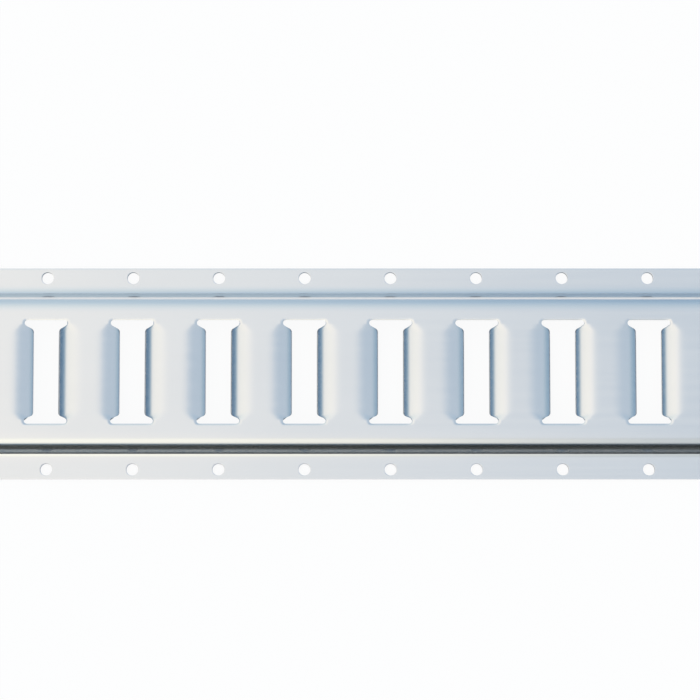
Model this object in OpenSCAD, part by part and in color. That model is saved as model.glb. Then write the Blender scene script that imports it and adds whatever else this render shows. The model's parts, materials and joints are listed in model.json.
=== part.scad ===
// Horizontal tie-down track: one length of rolled and pressed galvanised sheet steel.
// It lies on the backs of its two flanges, with X along its length, Y across it and Z up to its face.
// The origin is in the plane of the flange backs, at the middle of the length and the width.

/* [Track] */
// Length of the piece
track_length = 609.6; // [304.8:50.8:1524]
// Thickness of the sheet
gauge = 2.7; // [2:0.1:3]
// Height of the face above the surface behind the flanges
track_depth = 12.7; // [12.5:0.1:16]

/* [Section] */
// Flat face left between the end of a slot and the shoulder bend
face_margin = 5.45; // [4.8:0.05:14]
// Radius of the shoulder bends, on the front
shoulder_radius = 11; // [6:0.5:12]
// Angle by which each web slopes down from the face
web_angle = 60; // [45:1:62]
// Radius of the foot bends, on the front
foot_radius = 2; // [1.5:0.5:4.5]
// Flat width of each flange, from its bend to its edge
flange_flat = 13.27; // [11:0.01:25]

/* [Slots] */
// Distance between the middles of two slots
slot_pitch = 50.8; // [46:0.1:76.2]
// Length of a slot over its two heads
slot_length = 61.4; // [56:0.2:72]
// Width of the open stem between the two lips
slot_width = 14.8; // [12:0.1:18]
// Radius to which the lips are pressed, on the front
lip_radius = 17; // [13:0.5:19]
// Angle through which the lips are turned back
lip_angle = 40; // [34:1:50]
// Angle at which the ends of the lips rise to the face
lip_end_angle = 52; // [46:1:58]
// Width of the heads, over their rounded tips
head_width = 25.2; // [23.6:0.1:28]
// Depth of a head, from the end of the slot to the straight edges of the lips
head_depth = 5.4; // [4.6:0.1:9]
// Radius of the tips of the heads
tip_radius = 1.75; // [1.2:0.05:2.4]
// Radius of the corners where the heads meet the straight edges of the lips
corner_radius = 1.5; // [0.5:0.1:2.2]

/* [Holes] */
// Diameter of the screw holes in the flanges
hole_diameter = 7; // [4:0.1:8]
// Distance from the edge of a flange to the middle of its holes
hole_edge = 5.8; // [5:0.05:7]

/* [Hidden] */
$fn = 96;

// The bends of the section are drawn in steps of this many degrees
bend_step = 5;
// Cutters reach this far past the faces that they cut
overcut = 2;
// Pressed sheet reaches this far into the flat face round it, to be one with it
seam = 1;

// The section, from the middle of the face out to the edge of a flange
face_half = slot_length / 2 + face_margin;
web_drop = track_depth - gauge - (shoulder_radius + foot_radius) * (1 - cos(web_angle));
web_run = web_drop / tan(web_angle);
foot_y = face_half + (shoulder_radius + foot_radius) * sin(web_angle) + web_run;
flange_edge = foot_y + flange_flat;
hole_y = flange_edge - hole_edge;

// The slots stand in a row about the middle of the piece
slot_count = floor(track_length / slot_pitch + 0.001);
slot_places = [for (i = [0 : slot_count - 1]) (i - (slot_count - 1) / 2) * slot_pitch];

// The lips start to curl this far from the middle of a slot
lip_start = to_micron(slot_width / 2 + lip_radius * sin(lip_angle));
// Middle of the rounded tip of a head
tip_x = head_width / 2 - tip_radius;
tip_y = slot_length / 2 - tip_radius;
// The ends of the lips reach the face beside the tips: here on the front, and here on the back
end_front = to_micron(tip_y - 0.3 * tip_radius);
end_back = to_micron(end_front + gauge * tan(lip_end_angle / 2));
// They start this far down, under the lips
end_drop = lip_radius * (1 - cos(lip_angle)) / 2;
end_run = end_drop / tan(lip_end_angle);

// Faces that meet are placed to the micron, so that they share their edges
function to_micron(size) = round(size * 1000) / 1000;

// Points along a bend, from one angle to another
function bend_points(middle, radius, from, to) =
    let (steps = ceil(abs(to - from) / bend_step))
    [for (i = [0 : steps]) let (a = from + (to - from) * i / steps) middle + radius * [cos(a), sin(a)]];

// One surface of the sheet, from the middle of the face to the edge of the flange.
// The front has depth 0 and the back has the depth of the gauge.
function surface_points(depth) = concat(
    bend_points([face_half, track_depth - shoulder_radius], shoulder_radius - depth, 90, 90 - web_angle),
    bend_points([foot_y, gauge + foot_radius], foot_radius + depth, 270 - web_angle, 270),
    [[flange_edge, gauge - depth]]
);

function mirrored(points) = [for (p = points) [-p[0], p[1]]];
function reversed(points) = [for (i = [len(points) - 1 : -1 : 0]) points[i]];

// The rolled section: the front from left to right, then the back from right to left
module section() {
    front = surface_points(0);
    back = surface_points(gauge);
    polygon(concat(reversed(mirrored(front)), front, reversed(back), mirrored(back)));
}

// Points are given across the track and up, and the shape is drawn out along the track
module along_track(length) {
    rotate([90, 0, 90])
        linear_extrude(length, center = true)
            children();
}

// Points are given along the track and up, and the shape is drawn out across it
module across_track(length) {
    rotate([90, 0, 0])
        linear_extrude(length, center = true)
            children();
}

// The rolled sheet, before its slots are pressed
module sheet() {
    along_track(track_length)
        section();
}

// Profile of a lip: a curl of sheet that starts level with the face
module lip_profile() {
    translate([lip_start, track_depth - gauge])
        square([seam, gauge]);
    translate([lip_start, track_depth - lip_radius])
        intersection() {
            difference() {
                circle(lip_radius);
                circle(lip_radius - gauge);
            }
            polygon([
                [0, 0],
                [0, 2 * lip_radius],
                2 * lip_radius * [-tan(lip_angle / 2), 1],
                2 * lip_radius * [-sin(lip_angle), cos(lip_angle)]
            ]);
        }
}

// The patch of flat sheet that the press turns into lips
module pressed_patch() {
    translate([0, 0, track_depth / 2])
        cube([2 * lip_start + seam, 2 * end_back + seam, track_depth + 2 * overcut], center = true);
}

// One lip, along the right side of a slot, with the room behind the sheet that closes its ends
module lip() {
    low = [end_back - end_run, track_depth - gauge - end_drop];
    difference() {
        across_track(2 * (end_back + seam))
            lip_profile();
        for (end = [0, 1])
            mirror([0, end, 0])
                along_track(4 * lip_start)
                    polygon([
                        low,
                        [end_back, track_depth - gauge],
                        [end_back + seam + overcut, track_depth - gauge],
                        [end_back + seam + overcut, -overcut],
                        [low[0], -overcut]
                    ]);
    }
}

// The sloping sheet that closes the ends of both lips, at one end of a slot
module lip_end() {
    difference() {
        along_track(2 * (lip_start + seam))
            polygon([
                [end_front - end_run, track_depth - end_drop],
                [end_front, track_depth],
                [end_back + seam, track_depth],
                [end_back + seam, track_depth - gauge],
                [end_back, track_depth - gauge],
                [end_back - end_run, track_depth - gauge - end_drop]
            ]);
        for (side = [0, 1])
            mirror([side, 0, 0])
                across_track(4 * slot_length)
                    translate([lip_start, track_depth - lip_radius]) {
                        intersection() {
                            circle(lip_radius - gauge);
                            translate([-2 * lip_radius, -lip_radius])
                                square(2 * lip_radius);
                        }
                        translate([0, -lip_radius])
                            square([2 * seam, 2 * lip_radius - gauge]);
                    }
    }
}

// The head at one end of a slot: two rounded tips, and flanks that slope in to the lips' straight edges
module head_cutout() {
    corner = [slot_width / 2, slot_length / 2 - head_depth];
    tip = [tip_x, tip_y];
    reach = norm(tip - corner);
    flank = atan2(tip_y - corner[1], tip_x - corner[0]) - asin(0.98 * tip_radius / reach);
    along = [cos(flank), sin(flank)];
    inner = corner - overcut * along;
    outer = corner + reach * cos(asin(tip_radius / reach)) * along;
    off = [-sin(flank), cos(flank)];
    round_middle = corner + corner_radius * [1, (sin(flank) - 1) / cos(flank)];
    translate([0, 0, -overcut])
        linear_extrude(track_depth + 2 * overcut) {
            for (side = [-1, 1])
                translate([side * tip_x, tip_y])
                    circle(tip_radius);
            polygon([
                [-tip_x, tip_y + tip_radius],
                [tip_x, tip_y + tip_radius],
                outer,
                inner,
                [-inner[0], inner[1]],
                [-outer[0], outer[1]]
            ]);
            for (side = [0, 1])
                mirror([side, 0])
                    difference() {
                        polygon([
                            round_middle,
                            round_middle + (corner_radius + overcut / 2) * off,
                            inner,
                            round_middle - [corner_radius + overcut / 2, 0]
                        ]);
                        translate(round_middle)
                            circle(corner_radius);
                    }
        }
}

// The screw holes opposite the middle of a slot, one in each flange
module screw_holes() {
    for (side = [-1, 1])
        translate([0, side * hole_y, -overcut])
            cylinder(h = gauge + 2 * overcut, d = hole_diameter);
}

module track() {
    color([0.78, 0.81, 0.84])
        difference() {
            union() {
                difference() {
                    sheet();
                    for (x = slot_places)
                        translate([x, 0, 0])
                            pressed_patch();
                }
                for (x = slot_places, side = [0, 1])
                    translate([x, 0, 0])
                        mirror([side, 0, 0])
                            lip();
                for (x = slot_places, end = [0, 1])
                    translate([x, 0, 0])
                        mirror([0, end, 0])
                            lip_end();
            }
            for (x = slot_places)
                translate([x, 0, 0]) {
                    head_cutout();
                    mirror([0, 1, 0])
                        head_cutout();
                    screw_holes();
                }
        }
}

track();
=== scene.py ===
# %% [markdown]
# # A length of horizontal tie-down track
#
# The real track starts as a coil of galvanised sheet steel. A press punches the holes and the
# slots and turns the long edges of each slot back into rounded lips, and a row of rollers then
# bends the strip into a shallow hat section. We follow the same order: one punched and pressed
# pitch of flat strip, a row of such pitches, the rolled section, and last the thickness.

# %% Load the frame
import json
import math

import bmesh
import bpy
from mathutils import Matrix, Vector


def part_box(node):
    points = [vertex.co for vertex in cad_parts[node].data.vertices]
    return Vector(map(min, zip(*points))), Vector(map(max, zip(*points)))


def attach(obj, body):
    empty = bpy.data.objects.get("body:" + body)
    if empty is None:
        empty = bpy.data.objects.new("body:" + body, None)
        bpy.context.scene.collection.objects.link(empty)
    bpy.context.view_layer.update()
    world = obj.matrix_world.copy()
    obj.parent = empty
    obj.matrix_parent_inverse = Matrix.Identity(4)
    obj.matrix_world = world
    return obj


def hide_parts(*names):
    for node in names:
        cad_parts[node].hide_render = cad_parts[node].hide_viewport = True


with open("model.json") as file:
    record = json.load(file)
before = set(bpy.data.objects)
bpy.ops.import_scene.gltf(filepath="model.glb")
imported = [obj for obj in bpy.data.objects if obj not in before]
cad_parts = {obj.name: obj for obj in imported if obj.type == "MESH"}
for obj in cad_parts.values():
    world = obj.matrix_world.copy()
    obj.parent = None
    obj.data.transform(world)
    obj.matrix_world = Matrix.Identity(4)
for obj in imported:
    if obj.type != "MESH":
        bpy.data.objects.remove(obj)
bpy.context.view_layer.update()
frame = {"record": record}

# %% [markdown]
# ## Sizes
#
# The frame holds the overall size, and its mounts hold the slot pitch and the screw holes. The
# bends and the lips have no mount, so they are named here as a maker would give them.

# %% Sizes from the frame, and the other sizes as a maker would give them
MM = 0.001
track_low, track_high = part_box("track")
track_depth = track_high.z - track_low.z
mounts = {mount["name"]: mount for mount in frame["record"]["mounts"]}
slot_mounts = [mount for name, mount in mounts.items() if name.startswith("fitting_slot")]
slot_places = sorted(mount["pos_m"][0] for mount in slot_mounts)
slot_pitch = slot_places[1] - slot_places[0]
hole_radius = mounts["end_screws"]["dims"]["hole_r_mm"] * MM
hole_row = mounts["end_screws"]["dims"]["spacing_y_mm"] * MM / 2

gauge = 2.7 * MM
shoulder_radius = 11 * MM
web_slope = math.radians(60)
foot_radius = 0.8 * MM
lead_radius = 9.5 * MM
lead_tilt = math.radians(26)
slot_length = 61.4 * MM
slot_width = 14.8 * MM
face_margin = 5.45 * MM
face_half = slot_length / 2 + face_margin
lip_radius = 17 * MM
lip_turn = math.radians(40)
head_width = 25.2 * MM
head_depth = 5.4 * MM
tip_radius = 1.75 * MM
print("slots:", len(slot_places), "pitch mm:", round(slot_pitch / MM, 2))

# %% [markdown]
# ## The strip, laid flat
#
# Rolling only bends the strip across its width, so every point keeps its distance along the
# front surface. We lay the strip out by that distance: the face, the shoulder bend, the straight
# web, the foot bend and the flange, one after the other. The foot is sharp where the rollers
# pinch it, and a slow lead from there brings the sheet level with the flange.

# %% Distances across the flat strip
shoulder_drop = shoulder_radius * (1 - math.cos(web_slope))
foot_drop = foot_radius * (math.cos(lead_tilt) - math.cos(web_slope))
lead_drop = lead_radius * (1 - math.cos(lead_tilt))
web_length = (track_depth - gauge - shoulder_drop - foot_drop - lead_drop) / math.sin(web_slope)

shoulder_end = face_half + shoulder_radius * web_slope
web_end = shoulder_end + web_length
foot_end = web_end + foot_radius * (web_slope - lead_tilt)
lead_end = foot_end + lead_radius * lead_tilt

shoulder_y = face_half + shoulder_radius * math.sin(web_slope)
foot_y = shoulder_y + web_length * math.cos(web_slope)
lead_y = foot_y + foot_radius * (math.sin(web_slope) - math.sin(lead_tilt))
flange_y = lead_y + lead_radius * math.sin(lead_tilt)
flange_flat = track_high.y - flange_y
strip_edge = lead_end + flange_flat
strip_hole = lead_end + hole_row - flange_y
print("half width of the flat strip in mm:", round(strip_edge / MM, 2))


# %% [markdown]
# ## Where the press has pushed the face back
#
# Along a slot the lips are plain curls of one radius. The ends of each lip are cut free by the
# heads, so the curl keeps its depth right up to them and then rises to the flat face within a few
# millimetres, beside the tips. One function gives this depth: the curl, times a fade towards the
# tips. Sheet never bends from flat to round at a line, so the rim is eased over a band. The punch
# also drags the face down a little along the edge that it cuts, and a second function adds that
# soft roll round the ends of a slot.

# %% The shape of the dent
EASE_AT_RIM = 6 * MM
FADE_LENGTH = 4 * MM
FADE_SLANT = 0.5
FADE_PAST_TIP = 0.8
ROLL_DEPTH = 0.36 * MM
ROLL_REACH = 1.5 * MM

lip_start = slot_width / 2 + lip_radius * math.sin(lip_turn)
tip_x = head_width / 2 - tip_radius
tip_y = slot_length / 2 - tip_radius
fade_end = tip_y + FADE_PAST_TIP * tip_radius


def smooth_step(share):
    share = min(max(share, 0), 1)
    return share * share * (3 - 2 * share)


def dent_depth(x, y):
    reach = lip_start - abs(x)
    if reach < EASE_AT_RIM:
        reach = max(reach + EASE_AT_RIM, 0) ** 2 / (4 * EASE_AT_RIM)
    reach = min(reach, lip_radius * math.sin(lip_turn))
    curl = lip_radius - math.sqrt(lip_radius ** 2 - reach ** 2)
    end = fade_end - FADE_SLANT * max(abs(x) - tip_x, 0)
    return curl * smooth_step((end - abs(y)) / FADE_LENGTH)


def roll_depth(x, y):
    past_tip = math.hypot(max(abs(x) - tip_x, 0), max(abs(y) - tip_y, 0))
    from_edge = max(past_tip - tip_radius, 0)
    at_end = smooth_step((abs(y) - tip_y + tip_radius) / tip_radius)
    return ROLL_DEPTH * at_end * max(1 - from_edge / ROLL_REACH, 0) ** 2


print("depth of the lips in mm:", round(dent_depth(slot_width / 2, 0) / MM, 2))

# %% [markdown]
# ## One pitch of punched strip
#
# A slot needs rings of faces that follow its outline, or the curl of its lips would catch the
# light in steps. So the face is made of loops: the outline of the slot, the rim of the dent and
# the edge of the pitch, each with the same number of points, and rings of quads between them.
# Only a quarter of each loop is worked out, and mirroring gives the rest.

# %% A quarter of each loop
COLUMNS_AT_HOLE = 4
COLUMNS_BESIDE = 6
HEAD_STEPS = 4
TIP_STEPS = 8
FLANK_STEPS = 2
CORNER_STEPS = 4
STEM_STEPS = 10
CORNER_ROUND = 2.4 * MM
RIM_ROUND = 4 * MM
TIP_STEPS_AT_SIDE = HEAD_STEPS + TIP_STEPS - COLUMNS_AT_HOLE - COLUMNS_BESIDE


def spread(first, last, steps):
    return [first + (last - first) * i / steps for i in range(steps + 1)]


def line(first, last, steps):
    return list(zip(spread(first[0], last[0], steps), spread(first[1], last[1], steps)))


def arc(middle, radius, first, last, steps):
    angles = spread(first, last, steps)
    return [(middle[0] + radius * math.cos(a), middle[1] + radius * math.sin(a)) for a in angles]


def joined(*runs):
    points = list(runs[0])
    for run in runs[1:]:
        points += run[1:]
    return points


stem_corner = (slot_width / 2, slot_length / 2 - head_depth)
to_tip = math.hypot(tip_x - stem_corner[0], tip_y - stem_corner[1])
flank_slope = math.atan2(tip_y - stem_corner[1], tip_x - stem_corner[0])
flank_slope -= math.asin(tip_radius / to_tip)
tip_arc = arc((tip_x, tip_y), tip_radius, math.pi / 2, flank_slope - math.pi / 2, TIP_STEPS)
corner_fall = CORNER_ROUND * (1 - math.sin(flank_slope)) / math.cos(flank_slope)
corner_middle = (stem_corner[0] + CORNER_ROUND, stem_corner[1] - corner_fall)
corner_arc = arc(corner_middle, CORNER_ROUND, flank_slope + math.pi / 2, math.pi, CORNER_STEPS)
slot_quarter = joined(
    line((0, slot_length / 2), (tip_x, slot_length / 2), HEAD_STEPS),
    tip_arc,
    line(tip_arc[-1], corner_arc[0], FLANK_STEPS),
    corner_arc,
    line(corner_arc[-1], (slot_width / 2, 0), STEM_STEPS))


def straight_down(x):
    """The side of a loop along a lip, level with the flank, the corner and the stem."""
    return joined(
        line((x, tip_y), (x, corner_arc[0][1]), FLANK_STEPS),
        [(x, y) for _, y in corner_arc],
        line((x, corner_arc[-1][1]), (x, 0), STEM_STEPS))


rim_middle = (lip_start - RIM_ROUND, tip_y)
rim_quarter = joined(
    line((0, tip_y + RIM_ROUND), (rim_middle[0], tip_y + RIM_ROUND), HEAD_STEPS),
    arc(rim_middle, RIM_ROUND, math.pi / 2, 0, TIP_STEPS),
    straight_down(lip_start))

hole_square = flange_flat / 2
columns = joined(
    spread(0, hole_square, COLUMNS_AT_HOLE),
    spread(hole_square, slot_pitch / 2, COLUMNS_BESIDE))
pitch_quarter = joined(
    [(x, face_half) for x in columns],
    line((slot_pitch / 2, face_half), (slot_pitch / 2, tip_y), TIP_STEPS_AT_SIDE),
    straight_down(slot_pitch / 2))
print("points in a quarter loop:", len(slot_quarter), len(rim_quarter), len(pitch_quarter))

# %% Rings between the loops
RINGS_ON_FACE = 6
RINGS_IN_DENT = 10
LEAST_TURN = 0.01


def all_round(quarter):
    right = quarter + [(x, -y) for x, y in reversed(quarter[:-1])]
    left = [(-x, y) for x, y in reversed(right[1:-1])]
    return right + left


def part_way(a, b, share):
    return (a[0] + (b[0] - a[0]) * share, a[1] + (b[1] - a[1]) * share)


def between(outer, inner, share):
    return [part_way(a, b, share) for a, b in zip(outer, inner)]


def down_the_curl(rim, outline, share):
    """A loop part of the way from the rim to the outline, spaced evenly along the curl."""
    loop = []
    for a, b in zip(rim, outline):
        reach = max(lip_start - abs(b[0]), 0) if abs(b[1]) < tip_y else 0
        turn = math.asin(min(reach / lip_radius, math.sin(lip_turn)))
        part = math.sin(share * turn) / math.sin(turn) if turn > LEAST_TURN else share
        loop.append(part_way(a, b, part))
    return loop


slot_loop = all_round(slot_quarter)
rim_loop = all_round(rim_quarter)
pitch_loop = all_round(pitch_quarter)
face_loops = [between(pitch_loop, rim_loop, i / RINGS_ON_FACE) for i in range(RINGS_ON_FACE)]
dent_shares = spread(0, 1, RINGS_IN_DENT)
face_loops += [down_the_curl(rim_loop, slot_loop, share) for share in dent_shares]
print("rings on a face:", len(face_loops), "of", len(slot_loop), "points")

# %% [markdown]
# The flange has a screw hole opposite each slot. It is made the same way: the round hole, a
# square as wide as the flange, and rings of quads between them. Plain rows of quads make up the
# bends and the rest of the flange.

# %% Loops round a screw hole, and the rows across the bends
SHOULDER_STEPS = 9
WEB_STEPS = 2
FOOT_STEPS = 4
LEAD_STEPS = 6
HOLE_STEPS = 2 * COLUMNS_AT_HOLE
RINGS_AT_HOLE = 4
CLOSER_AT_HOLE = 1.4

all_columns = [-x for x in reversed(columns[1:])] + columns
bend_rows = joined(
    spread(face_half, shoulder_end, SHOULDER_STEPS),
    spread(shoulder_end, web_end, WEB_STEPS),
    spread(web_end, foot_end, FOOT_STEPS),
    spread(foot_end, lead_end, LEAD_STEPS))
flange_rows = spread(lead_end, strip_edge, HOLE_STEPS)

square_loop = joined(
    line((0, strip_edge), (hole_square, strip_edge), COLUMNS_AT_HOLE),
    line((hole_square, strip_edge), (hole_square, lead_end), HOLE_STEPS),
    line((hole_square, lead_end), (-hole_square, lead_end), HOLE_STEPS),
    line((-hole_square, lead_end), (-hole_square, strip_edge), HOLE_STEPS),
    line((-hole_square, strip_edge), (0, strip_edge), COLUMNS_AT_HOLE))[:-1]
hole_loop = arc((0, strip_hole), hole_radius, math.pi / 2, -1.5 * math.pi, len(square_loop))[:-1]
hole_shares = [share ** CLOSER_AT_HOLE for share in spread(0, 1, RINGS_AT_HOLE)]
hole_loops = [between(hole_loop, square_loop, share) for share in hole_shares]
print("points round a screw hole:", len(hole_loop))

# %% The punched pitch as a mesh
WELD_PITCH = 0.001 * MM


def add_rings(sheet, loops, place):
    rows = [[sheet.verts.new(place(x, y)) for x, y in loop] for loop in loops]
    for outer, inner in zip(rows, rows[1:]):
        for i, corner in enumerate(outer):
            sheet.faces.new((outer[i - 1], corner, inner[i], inner[i - 1]))


def add_rows(sheet, xs, ys, place):
    rows = [[sheet.verts.new(place(x, y)) for x in xs] for y in ys]
    for low, high in zip(rows, rows[1:]):
        for i in range(len(xs) - 1):
            sheet.faces.new((low[i], low[i + 1], high[i + 1], high[i]))


def pressed(x, y):
    return (x, y, -dent_depth(x, y) - roll_depth(x, y))


def pressed_mirrored(x, y):
    return pressed(x, -y)


def punched_pitch():
    sheet = bmesh.new()
    add_rings(sheet, face_loops, pressed)
    for place in (pressed, pressed_mirrored):
        add_rows(sheet, all_columns, bend_rows, place)
        add_rings(sheet, hole_loops, place)
        for side in (-1, 1):
            add_rows(sheet, [side * x for x in columns[COLUMNS_AT_HOLE:]], flange_rows, place)
    bmesh.ops.remove_doubles(sheet, verts=sheet.verts, dist=WELD_PITCH)
    bmesh.ops.recalc_face_normals(sheet, faces=sheet.faces)
    if sum(face.normal.z for face in sheet.faces) < 0:
        bmesh.ops.reverse_faces(sheet, faces=sheet.faces)
    mesh = bpy.data.meshes.new("punched_pitch")
    sheet.to_mesh(mesh)
    sheet.free()
    return mesh


track_sheet = bpy.data.objects.new("track_sheet", punched_pitch())
bpy.context.scene.collection.objects.link(track_sheet)
print("faces in one pitch:", len(track_sheet.data.polygons))

# %% [markdown]
# ## The row of pitches, rolled to its section
#
# Both the row and the roll follow a rule, so Geometry Nodes do them. A mesh line places one copy
# of the pitch at each slot, and a Set Position node bends the strip. Each stretch of the strip
# takes its own share of the distance from the middle: the face lies flat, a bend turns its share
# into a sine and a cosine, and the web and the flange run straight on.

# %% Small helpers for node trees
def feed(tree, socket, value):
    """Links a socket to another socket, or sets it to a plain value."""
    if isinstance(value, bpy.types.NodeSocket):
        tree.links.new(value, socket)
    else:
        socket.default_value = value


def calculate(tree, operation, *values):
    node = tree.nodes.new("ShaderNodeMath")
    node.operation = operation
    for socket, value in zip(node.inputs, values):
        feed(tree, socket, value)
    return node.outputs[0]


def add_node(tree, kind, **values):
    """Adds a node and feeds the inputs that are named, with _ for a space."""
    node = tree.nodes.new(kind)
    for name, value in values.items():
        feed(tree, node.inputs[name.replace("_", " ")], value)
    return node


# %% The rolling tree
WELD_ROW = 0.005 * MM


def rolling_tree():
    tree = bpy.data.node_groups.new("Row of slots, rolled", "GeometryNodeTree")
    tree.interface.new_socket("Pitch", in_out="INPUT", socket_type="NodeSocketGeometry")
    for name in ("Slot pitch", "Face half", "Shoulder radius", "Web slope", "Web length",
                 "Foot radius", "Lead tilt", "Lead radius", "Depth"):
        tree.interface.new_socket(name, in_out="INPUT", socket_type="NodeSocketFloat")
    tree.interface.new_socket("Slots", in_out="INPUT", socket_type="NodeSocketInt")
    tree.interface.new_socket("Steel", in_out="INPUT", socket_type="NodeSocketMaterial")
    tree.interface.new_socket("Track", in_out="OUTPUT", socket_type="NodeSocketGeometry")
    given = tree.nodes.new("NodeGroupInput").outputs

    gaps = calculate(tree, "SUBTRACT", given["Slots"], 1)
    row_length = calculate(tree, "MULTIPLY", gaps, given["Slot pitch"])
    first = calculate(tree, "MULTIPLY", row_length, -0.5)
    start = add_node(tree, "ShaderNodeCombineXYZ", X=first)
    step = add_node(tree, "ShaderNodeCombineXYZ", X=given["Slot pitch"])
    row = add_node(
        tree, "GeometryNodeMeshLine", Count=given["Slots"],
        Start_Location=start.outputs[0], Offset=step.outputs[0])
    copies = add_node(
        tree, "GeometryNodeInstanceOnPoints", Points=row.outputs[0], Instance=given["Pitch"])
    strip = add_node(tree, "GeometryNodeRealizeInstances", Geometry=copies.outputs[0])
    whole = add_node(
        tree, "GeometryNodeMergeByDistance", Geometry=strip.outputs[0], Distance=WELD_ROW)

    position = tree.nodes.new("GeometryNodeInputPosition").outputs[0]
    here = add_node(tree, "ShaderNodeSeparateXYZ", Vector=position)
    across = calculate(tree, "ABSOLUTE", here.outputs["Y"])

    def share(begin, length):
        """The part of the distance across that lies in one stretch of the strip."""
        past = calculate(tree, "SUBTRACT", across, begin)
        return calculate(tree, "MAXIMUM", calculate(tree, "MINIMUM", past, length), 0.0)

    def bend(begin, radius, first, last, way):
        """A bend from one tilt to another: where it ends, and what it adds across and down."""
        angle = calculate(tree, "MULTIPLY", calculate(tree, "SUBTRACT", last, first), way)
        length = calculate(tree, "MULTIPLY", radius, angle)
        turned = calculate(tree, "DIVIDE", share(begin, length), radius)
        tilt = calculate(tree, "MULTIPLY_ADD", turned, way, first)
        arm = calculate(tree, "MULTIPLY", radius, way)
        first_sine, sine = calculate(tree, "SINE", first), calculate(tree, "SINE", tilt)
        first_cosine, cosine = calculate(tree, "COSINE", first), calculate(tree, "COSINE", tilt)
        gone_across = calculate(tree, "MULTIPLY", arm, calculate(tree, "SUBTRACT", sine, first_sine))
        gone_down = calculate(tree, "MULTIPLY", arm, calculate(tree, "SUBTRACT", first_cosine, cosine))
        return calculate(tree, "ADD", begin, length), gone_across, gone_down

    def total(*parts):
        sum_so_far = parts[0]
        for part in parts[1:]:
            sum_so_far = calculate(tree, "ADD", sum_so_far, part)
        return sum_so_far

    slope, lead = given["Web slope"], given["Lead tilt"]
    on_face = calculate(tree, "MINIMUM", across, given["Face half"])
    web_begin, shoulder_across, shoulder_fall = bend(
        given["Face half"], given["Shoulder radius"], 0.0, slope, 1.0)
    on_web = share(web_begin, given["Web length"])
    foot_begin = calculate(tree, "ADD", web_begin, given["Web length"])
    lead_begin, foot_across, foot_fall = bend(foot_begin, given["Foot radius"], slope, lead, -1.0)
    flange_begin, lead_across, lead_fall = bend(lead_begin, given["Lead radius"], lead, 0.0, -1.0)
    on_flange = calculate(tree, "MAXIMUM", calculate(tree, "SUBTRACT", across, flange_begin), 0.0)
    web_across = calculate(tree, "MULTIPLY", on_web, calculate(tree, "COSINE", slope))
    web_fall = calculate(tree, "MULTIPLY", on_web, calculate(tree, "SINE", slope))
    new_across = total(on_face, shoulder_across, web_across, foot_across, lead_across, on_flange)
    fall = total(shoulder_fall, web_fall, foot_fall, lead_fall)
    side = calculate(tree, "SIGN", here.outputs["Y"])
    level = calculate(tree, "SUBTRACT", given["Depth"], fall)
    bent = add_node(
        tree, "ShaderNodeCombineXYZ", X=here.outputs["X"],
        Y=calculate(tree, "MULTIPLY", side, new_across),
        Z=calculate(tree, "ADD", here.outputs["Z"], level))

    rolled = add_node(
        tree, "GeometryNodeSetPosition", Geometry=whole.outputs[0], Position=bent.outputs[0])
    smooth = add_node(tree, "GeometryNodeSetShadeSmooth", Geometry=rolled.outputs[0])
    real = add_node(tree, "GeometryNodeRealizeInstances", Geometry=smooth.outputs[0])
    dressed = add_node(
        tree, "GeometryNodeSetMaterial", Geometry=real.outputs[0], Material=given["Steel"])
    result = tree.nodes.new("NodeGroupOutput")
    tree.links.new(dressed.outputs[0], result.inputs["Track"])
    return tree


# %% [markdown]
# ## Bright galvanised steel
#
# The zinc is smooth and bright, with no large crystals. What breaks up its shine is faint: soft
# clouds where the zinc lies a little thicker, and fine streaks along the length that the rollers
# left. Both are wanted on the sheet and on its sheared edges, so they are one node group, which
# reads Object coordinates and gives masks only.

# %% The shared zinc group
STREAK_STRETCH = (0.02, 1, 1)
CLOUD_STRETCH = (0.35, 1, 1)


def zinc_group():
    group = bpy.data.node_groups.new("Rolled zinc", "ShaderNodeTree")
    group.interface.new_socket("Streak size", in_out="INPUT", socket_type="NodeSocketFloat")
    group.interface.new_socket("Cloud size", in_out="INPUT", socket_type="NodeSocketFloat")
    group.interface.new_socket("Streaks", in_out="OUTPUT", socket_type="NodeSocketFloat")
    group.interface.new_socket("Clouds", in_out="OUTPUT", socket_type="NodeSocketFloat")
    given = group.nodes.new("NodeGroupInput").outputs
    place = group.nodes.new("ShaderNodeTexCoord").outputs["Object"]
    stretched = add_node(group, "ShaderNodeMapping", Vector=place, Scale=STREAK_STRETCH)
    streaks = add_node(
        group, "ShaderNodeTexNoise", Vector=stretched.outputs[0], Detail=4.0, Roughness=0.65,
        Scale=calculate(group, "DIVIDE", 1.0, given["Streak size"]))
    long_clouds = add_node(group, "ShaderNodeMapping", Vector=place, Scale=CLOUD_STRETCH)
    clouds = add_node(
        group, "ShaderNodeTexNoise", Vector=long_clouds.outputs[0], Detail=3.0, Roughness=0.5,
        Scale=calculate(group, "DIVIDE", 1.0, given["Cloud size"]))
    result = group.nodes.new("NodeGroupOutput")
    group.links.new(streaks.outputs[0], result.inputs["Streaks"])
    group.links.new(clouds.outputs[0], result.inputs["Clouds"])
    return group


rolled_zinc = zinc_group()
print("shared node group:", rolled_zinc.name)


# %% The two finishes
NOISE_LOW = 0.3
NOISE_HIGH = 0.7


def between_colours(tree, share, dark, light):
    ramp = tree.nodes.new("ShaderNodeValToRGB")
    ramp.color_ramp.elements[0].position = NOISE_LOW
    ramp.color_ramp.elements[0].color = (*dark, 1)
    ramp.color_ramp.elements[1].position = NOISE_HIGH
    ramp.color_ramp.elements[1].color = (*light, 1)
    tree.links.new(share, ramp.inputs[0])
    return ramp.outputs[0]


def between_values(tree, share, low, high):
    node = add_node(
        tree, "ShaderNodeMapRange", Value=share, From_Min=NOISE_LOW, From_Max=NOISE_HIGH,
        To_Min=low, To_Max=high)
    return node.outputs[0]


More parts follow.
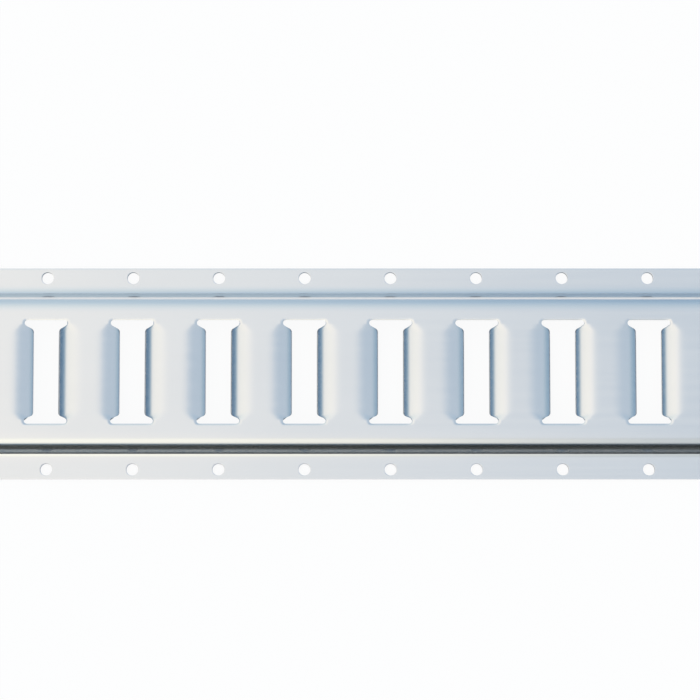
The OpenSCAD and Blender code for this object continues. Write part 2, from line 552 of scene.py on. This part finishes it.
def zinc_finish(name, streak_size, cloud_size, dark, light, roughness, bump_height):
    material = bpy.data.materials.new(name)
    material.use_nodes = True
    tree = material.node_tree
    shader = tree.nodes["Principled BSDF"]
    shader.inputs["Metallic"].default_value = 1.0
    zinc = tree.nodes.new("ShaderNodeGroup")
    zinc.node_tree = rolled_zinc
    zinc.inputs["Streak size"].default_value = streak_size
    zinc.inputs["Cloud size"].default_value = cloud_size
    streaks, clouds = zinc.outputs["Streaks"], zinc.outputs["Clouds"]
    average = calculate(tree, "MULTIPLY", calculate(tree, "ADD", clouds, streaks), 0.5)
    tree.links.new(between_colours(tree, average, dark, light), shader.inputs["Base Color"])
    tree.links.new(between_values(tree, streaks, *roughness), shader.inputs["Roughness"])
    bump = add_node(tree, "ShaderNodeBump", Height=streaks, Strength=1.0, Distance=bump_height)
    tree.links.new(bump.outputs[0], shader.inputs["Normal"])
    return material


galvanised_sheet = zinc_finish(
    "galvanised_sheet", streak_size=3 * MM, cloud_size=40 * MM, dark=(0.775, 0.78, 0.785),
    light=(0.825, 0.82, 0.815), roughness=(0.18, 0.25), bump_height=0.001 * MM)
sheared_edge = zinc_finish(
    "sheared_edge", streak_size=0.6 * MM, cloud_size=8 * MM, dark=(0.40, 0.42, 0.44),
    light=(0.52, 0.54, 0.56), roughness=(0.34, 0.48), bump_height=0.02 * MM)
print("finishes:", galvanised_sheet.name, sheared_edge.name)

# %% [markdown]
# ## Roll it, give it its thickness and break its edges
#
# The tree takes its sizes by socket identifier. A Solidify modifier then grows the sheet behind
# the front surface, so every cut edge stands square to the sheet as a punch leaves it, and a
# small Bevel rounds the edges so they catch a thin line of light. The result becomes a plain mesh.
# Zinc has run over the long edges and the straight ends of the slots, so those stay bright.

# %% The finished track
EDGE_ROUND = 0.3 * MM
EDGE_ANGLE = math.radians(50)
ZINC_REACH = 0.5 * MM
ZINC_FACING = 0.8


def set_inputs(modifier, values):
    for item in modifier.node_group.interface.items_tree:
        if item.in_out == "INPUT" and item.name in values:
            modifier[item.identifier] = values[item.name]


track_sheet.data.materials.append(galvanised_sheet)
track_sheet.data.materials.append(sheared_edge)
rolling = track_sheet.modifiers.new("rolling", "NODES")
rolling.node_group = rolling_tree()
set_inputs(rolling, {
    "Slot pitch": slot_pitch, "Slots": len(slot_places), "Face half": face_half,
    "Shoulder radius": shoulder_radius, "Web slope": web_slope, "Web length": web_length,
    "Foot radius": foot_radius, "Lead tilt": lead_tilt, "Lead radius": lead_radius,
    "Depth": track_depth, "Steel": galvanised_sheet})
thickness = track_sheet.modifiers.new("thickness", "SOLIDIFY")
thickness.thickness = gauge
thickness.offset = -1
thickness.use_even_offset = True
thickness.material_offset_rim = 1
edges = track_sheet.modifiers.new("edges", "BEVEL")
edges.width = EDGE_ROUND
edges.segments = 2
edges.limit_method = "ANGLE"
edges.angle_limit = EDGE_ANGLE
edges.material = 1

seen = track_sheet.evaluated_get(bpy.context.evaluated_depsgraph_get())
finished = bpy.data.meshes.new_from_object(seen)
track_sheet.modifiers.clear()
track_sheet.data = finished
finished.name = "track_sheet"
for face in finished.polygons:
    on_long_edge = abs(face.center.y) > track_high.y - ZINC_REACH
    at_slot_end = abs(abs(face.center.y) - slot_length / 2) < ZINC_REACH
    if on_long_edge or (at_slot_end and abs(face.normal.y) > ZINC_FACING):
        face.material_index = 0
print("faces:", len(finished.polygons), "finishes:", [m.name for m in finished.materials],
      "edge faces:", sum(p.material_index for p in finished.polygons))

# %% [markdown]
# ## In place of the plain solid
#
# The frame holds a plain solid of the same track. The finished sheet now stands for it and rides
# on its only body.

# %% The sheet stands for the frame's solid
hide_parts("track")
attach(track_sheet, "root")

# %% [markdown]
# ## The floor
#
# The track lies on a plain white floor. Most of what the camera and the reflections see of it
# is plain white light, so the background stays white, and the rest is a matt surface that keeps
# the soft shadow of the track.

# %% The floor
FLOOR_SIZE = 12.0
FLOOR_WHITE = 0.93


def floor_finish():
    material = bpy.data.materials.new("white_floor")
    material.use_nodes = True
    tree = material.node_tree
    tree.nodes.clear()
    ray = tree.nodes.new("ShaderNodeLightPath").outputs
    seen_plain = calculate(tree, "MAXIMUM", ray["Is Camera Ray"], ray["Is Glossy Ray"])
    seen_plain = calculate(tree, "MAXIMUM", seen_plain, ray["Is Transmission Ray"])
    lit = add_node(tree, "ShaderNodeBsdfDiffuse", Color=(0.98, 0.98, 0.98, 1))
    white = add_node(tree, "ShaderNodeEmission", Color=(1, 1, 1, 1), Strength=1.0)
    mixed = tree.nodes.new("ShaderNodeMixShader")
    tree.links.new(calculate(tree, "MULTIPLY", seen_plain, FLOOR_WHITE), mixed.inputs[0])
    tree.links.new(lit.outputs[0], mixed.inputs[1])
    tree.links.new(white.outputs[0], mixed.inputs[2])
    result = tree.nodes.new("ShaderNodeOutputMaterial")
    tree.links.new(mixed.outputs[0], result.inputs["Surface"])
    return material


def add_sheet(name, corners, material):
    mesh = bpy.data.meshes.new(name)
    mesh.from_pydata(corners, [], [range(len(corners))])
    mesh.materials.append(material)
    sheet = bpy.data.objects.new(name, mesh)
    bpy.context.scene.collection.objects.link(sheet)
    return sheet


def lying(x_ends, y_ends, height):
    """Corners of a level sheet."""
    (left, right), (front, back) = x_ends, y_ends
    return [(left, front, height), (right, front, height), (right, back, height), (left, back, height)]


floor_ends = (-FLOOR_SIZE / 2, FLOOR_SIZE / 2)
add_sheet("floor", lying(floor_ends, floor_ends, 0), floor_finish())
print("floor:", FLOOR_SIZE, "m square")

# %% [markdown]
# ## Cards for the reflections
#
# Bent metal shows what surrounds it, so cards that only reflections see stand where a studio
# would be dim or tinted. One lies on the floor in front of the track, with a two-part wall behind
# it. Two walls stand off the left and right ends. Two dark blue cards lie under the track, with a
# gap below the far heads of the slots: they are painted shade, which stands for the shadow of the
# track on the floor beneath it, since the white floor shows no shade to reflections. Each card
# takes its colours from its height and from its place along the track.

# %% How a card is made
def add_ramp(tree, share, stops):
    node = tree.nodes.new("ShaderNodeValToRGB")
    elements = node.color_ramp.elements
    while len(elements) < len(stops):
        elements.new(0.5)
    for element, (where, colour) in zip(elements, stops):
        element.position = where
        element.color = (*colour, 1)
    tree.links.new(share, node.inputs[0])
    return node.outputs[0]


def ramp_along(tree, distance, stops):
    """A colour ramp whose stops stand at distances, or at shares of a direction."""
    low, high = stops[0][0], stops[-1][0]
    share = add_node(tree, "ShaderNodeMapRange", Value=distance, From_Min=low, From_Max=high)
    return add_ramp(tree, share.outputs[0], [((at - low) / (high - low), colour) for at, colour in stops])


def tinted(tree, colour, tint):
    both = tree.nodes.new("ShaderNodeMix")
    both.data_type = "RGBA"
    both.blend_type = "MULTIPLY"
    both.inputs[0].default_value = 1.0
    tree.links.new(colour, both.inputs["A"])
    tree.links.new(tint, both.inputs["B"])
    return both.outputs["Result"]


def add_card(name, corners, up, along):
    """A card that only reflections see, with its colours up it and along the track."""
    material = bpy.data.materials.new(name)
    material.use_nodes = True
    tree = material.node_tree
    tree.nodes.clear()
    position = tree.nodes.new("ShaderNodeTexCoord").outputs["Object"]
    place = add_node(tree, "ShaderNodeSeparateXYZ", Vector=position).outputs
    shades = tinted(tree, ramp_along(tree, place["Z"], up), ramp_along(tree, place["X"], along))
    plain = add_node(tree, "ShaderNodeEmission", Color=shades, Strength=1.0)
    result = tree.nodes.new("ShaderNodeOutputMaterial")
    tree.links.new(plain.outputs[0], result.inputs["Surface"])
    card = add_sheet(name, corners, material)
    card.visible_camera = False
    card.visible_diffuse = False
    card.visible_shadow = False
    card.visible_transmission = False


def upright(x_ends, y_ends, z_ends):
    """Corners of a standing sheet, from one place on the floor to another."""
    (x, last_x), (y, last_y), (bottom, top) = x_ends, y_ends, z_ends
    return [(x, y, bottom), (last_x, last_y, bottom), (last_x, last_y, top), (x, y, top)]


# %% The cards in front of the track
WHITE = (1, 1, 1)
DIM = (0.045, 0.05, 0.045)
FLAG_GAP = 4 * MM
FLAG_HEIGHT = 1 * MM
NEAR_WALL = -1.0
NEAR_WALL_ENDS = (-2.0, 2.0)
LOW_WALL_TOP = 0.48
HIGH_WALL_TOP = 1.9

even = [(-1.0, WHITE), (1.0, WHITE)]
near_flag = lying(NEAR_WALL_ENDS, (track_low.y - FLAG_GAP, NEAR_WALL), FLAG_HEIGHT)
add_card("near_floor_flag", near_flag, [(0, DIM), (1, DIM)], even)

low_wall = upright(NEAR_WALL_ENDS, (NEAR_WALL, NEAR_WALL), (0, LOW_WALL_TOP))
add_card(
    "near_wall_low", low_wall,
    up=[(0.0, DIM), (0.33, DIM), (0.40, (0.03, 0.12, 0.22)), (LOW_WALL_TOP, (0.14, 0.34, 0.52))],
    along=[(-0.3, WHITE), (0.0, (0.55, 0.62, 0.68)), (0.25, (0.2, 0.24, 0.28)),
           (0.6, (0.2, 0.24, 0.28))])

high_wall = upright(NEAR_WALL_ENDS, (NEAR_WALL, NEAR_WALL), (LOW_WALL_TOP, HIGH_WALL_TOP))
add_card(
    "near_wall_high", high_wall,
    up=[(LOW_WALL_TOP, (0.45, 0.55, 0.60)), (0.55, (1.15, 1.13, 1.02)), (0.7, (1.25, 1.23, 1.10)),
        (1.2, (1.25, 1.23, 1.10)), (HIGH_WALL_TOP, (1.05, 1.05, 1.0))],
    along=[(-0.3, WHITE), (0.0, (0.92, 0.92, 0.93)), (0.25, (0.54, 0.59, 0.68)),
           (0.6, (0.5, 0.56, 0.66))])
print("the wall in front is", HIGH_WALL_TOP, "m high")

# %% The cards at the ends, and the painted shade under the track
LEFT_WALL = -4.0
LEFT_WALL_ENDS = (-4.0, 4.0)
LEFT_WALL_TOP = 3.4
RIGHT_WALL = 1.5
RIGHT_WALL_ENDS = (-2.0, 2.0)
RIGHT_WALL_TOP = 1.2
# Painted shade: the dark blue of the cards under the track stands for the track's shadow on the floor
# beneath it.
PAINTED_SHADE_BLUE = (0.12, 0.18, 0.26)
UNDER_HEIGHT = 0.3 * MM
HEAD_GAP = (26.5 * MM, 31.5 * MM)

left_wall = upright((LEFT_WALL, LEFT_WALL), LEFT_WALL_ENDS, (0, LEFT_WALL_TOP))
add_card(
    "left_wall", left_wall,
    up=[(0.0, (0.06, 0.12, 0.20)), (1.33, (0.12, 0.22, 0.35)), (2.6, (0.23, 0.38, 0.53)),
        (LEFT_WALL_TOP, (0.8, 0.86, 0.87))], along=even)

right_wall = upright((RIGHT_WALL, RIGHT_WALL), RIGHT_WALL_ENDS, (0, RIGHT_WALL_TOP))
add_card(
    "right_wall", right_wall,
    up=[(0.0, (0.18, 0.32, 0.50)), (0.5, (0.32, 0.47, 0.62)), (RIGHT_WALL_TOP, (0.58, 0.69, 0.79))],
    along=even)

track_ends = (track_low.x, track_high.x)
# Painted shade: two dark cards just above the floor under the track, seen only by reflections, stand for
# the track's shadow there; the gap leaves the floor white below the far heads of the slots.
shade_cards_under = {
    "painted_shade_under": (track_low.y, HEAD_GAP[0]),
    "painted_shade_far": (HEAD_GAP[1], track_high.y)}
for name, sides in shade_cards_under.items():
    add_card(name, lying(track_ends, sides, UNDER_HEIGHT), [(0, PAINTED_SHADE_BLUE), (1, PAINTED_SHADE_BLUE)], even)
print("flags under the track:", len(shade_cards_under))

# %% [markdown]
# ## The dome
#
# A soft dome lights everything. Two ramps tint it by direction, one along the track and one
# across it: white overhead, warmer to the near left, and cooler to the right and the far side.

# %% The dome
ALONG = [
    (-1.00, (1.00, 1.00, 0.97)), (-0.30, (1.10, 1.08, 1.02)), (-0.08, (1.11, 1.085, 1.05)),
    (0.08, (0.675, 0.757, 0.85)), (0.30, (0.58, 0.68, 0.79)), (1.00, (0.58, 0.68, 0.79))]
ACROSS = [
    (-1.00, WHITE), (0.05, WHITE), (0.16, (0.955, 0.97, 0.99)), (0.33, (0.905, 0.95, 0.985)),
    (0.45, (0.86, 0.925, 0.972)), (0.65, (0.76, 0.855, 0.91)), (0.74, (0.70, 0.81, 0.895)),
    (0.82, (0.62, 0.75, 0.865)), (0.90, (0.55, 0.70, 0.83)), (1.00, (0.50, 0.64, 0.78))]

world = bpy.data.worlds.new("soft_dome")
bpy.context.scene.world = world
world.use_nodes = True
dome = world.node_tree
outward = dome.nodes.new("ShaderNodeTexCoord").outputs["Generated"]
direction = add_node(dome, "ShaderNodeSeparateXYZ", Vector=outward).outputs
sky = tinted(
    dome, ramp_along(dome, direction["X"], ALONG), ramp_along(dome, direction["Y"], ACROSS))
dome.links.new(sky, dome.nodes["Background"].inputs["Color"])
print("colours in the dome:", len(ALONG), "along and", len(ACROSS), "across")

# %% [markdown]
# ## The camera
#
# The camera stands far off and looks almost straight down, a little from the near side. A long
# lens keeps the slots alike, and the picture crops both ends of the track.

# %% The camera
CAMERA_FAR = 2.2
CAMERA_TILT = math.radians(6.5)
VIEW_WIDTH = 0.4137
SENSOR = 36.0
AIM_ALONG = 1.5 * MM
AIM_ACROSS = 13.6 * MM
aim = Vector((AIM_ALONG, AIM_ACROSS, track_depth / 2))
camera = bpy.data.objects.new("camera", bpy.data.cameras.new("camera"))
camera.data.sensor_width = SENSOR
camera.data.lens = SENSOR * CAMERA_FAR / VIEW_WIDTH
camera.location = aim + CAMERA_FAR * Vector((0, -math.sin(CAMERA_TILT), math.cos(CAMERA_TILT)))
camera.rotation_euler = (CAMERA_TILT, 0, 0)
bpy.context.scene.collection.objects.link(camera)
bpy.context.scene.camera = camera
bpy.context.scene.view_settings.view_transform = "Standard"
print("lens mm:", round(camera.data.lens, 1))
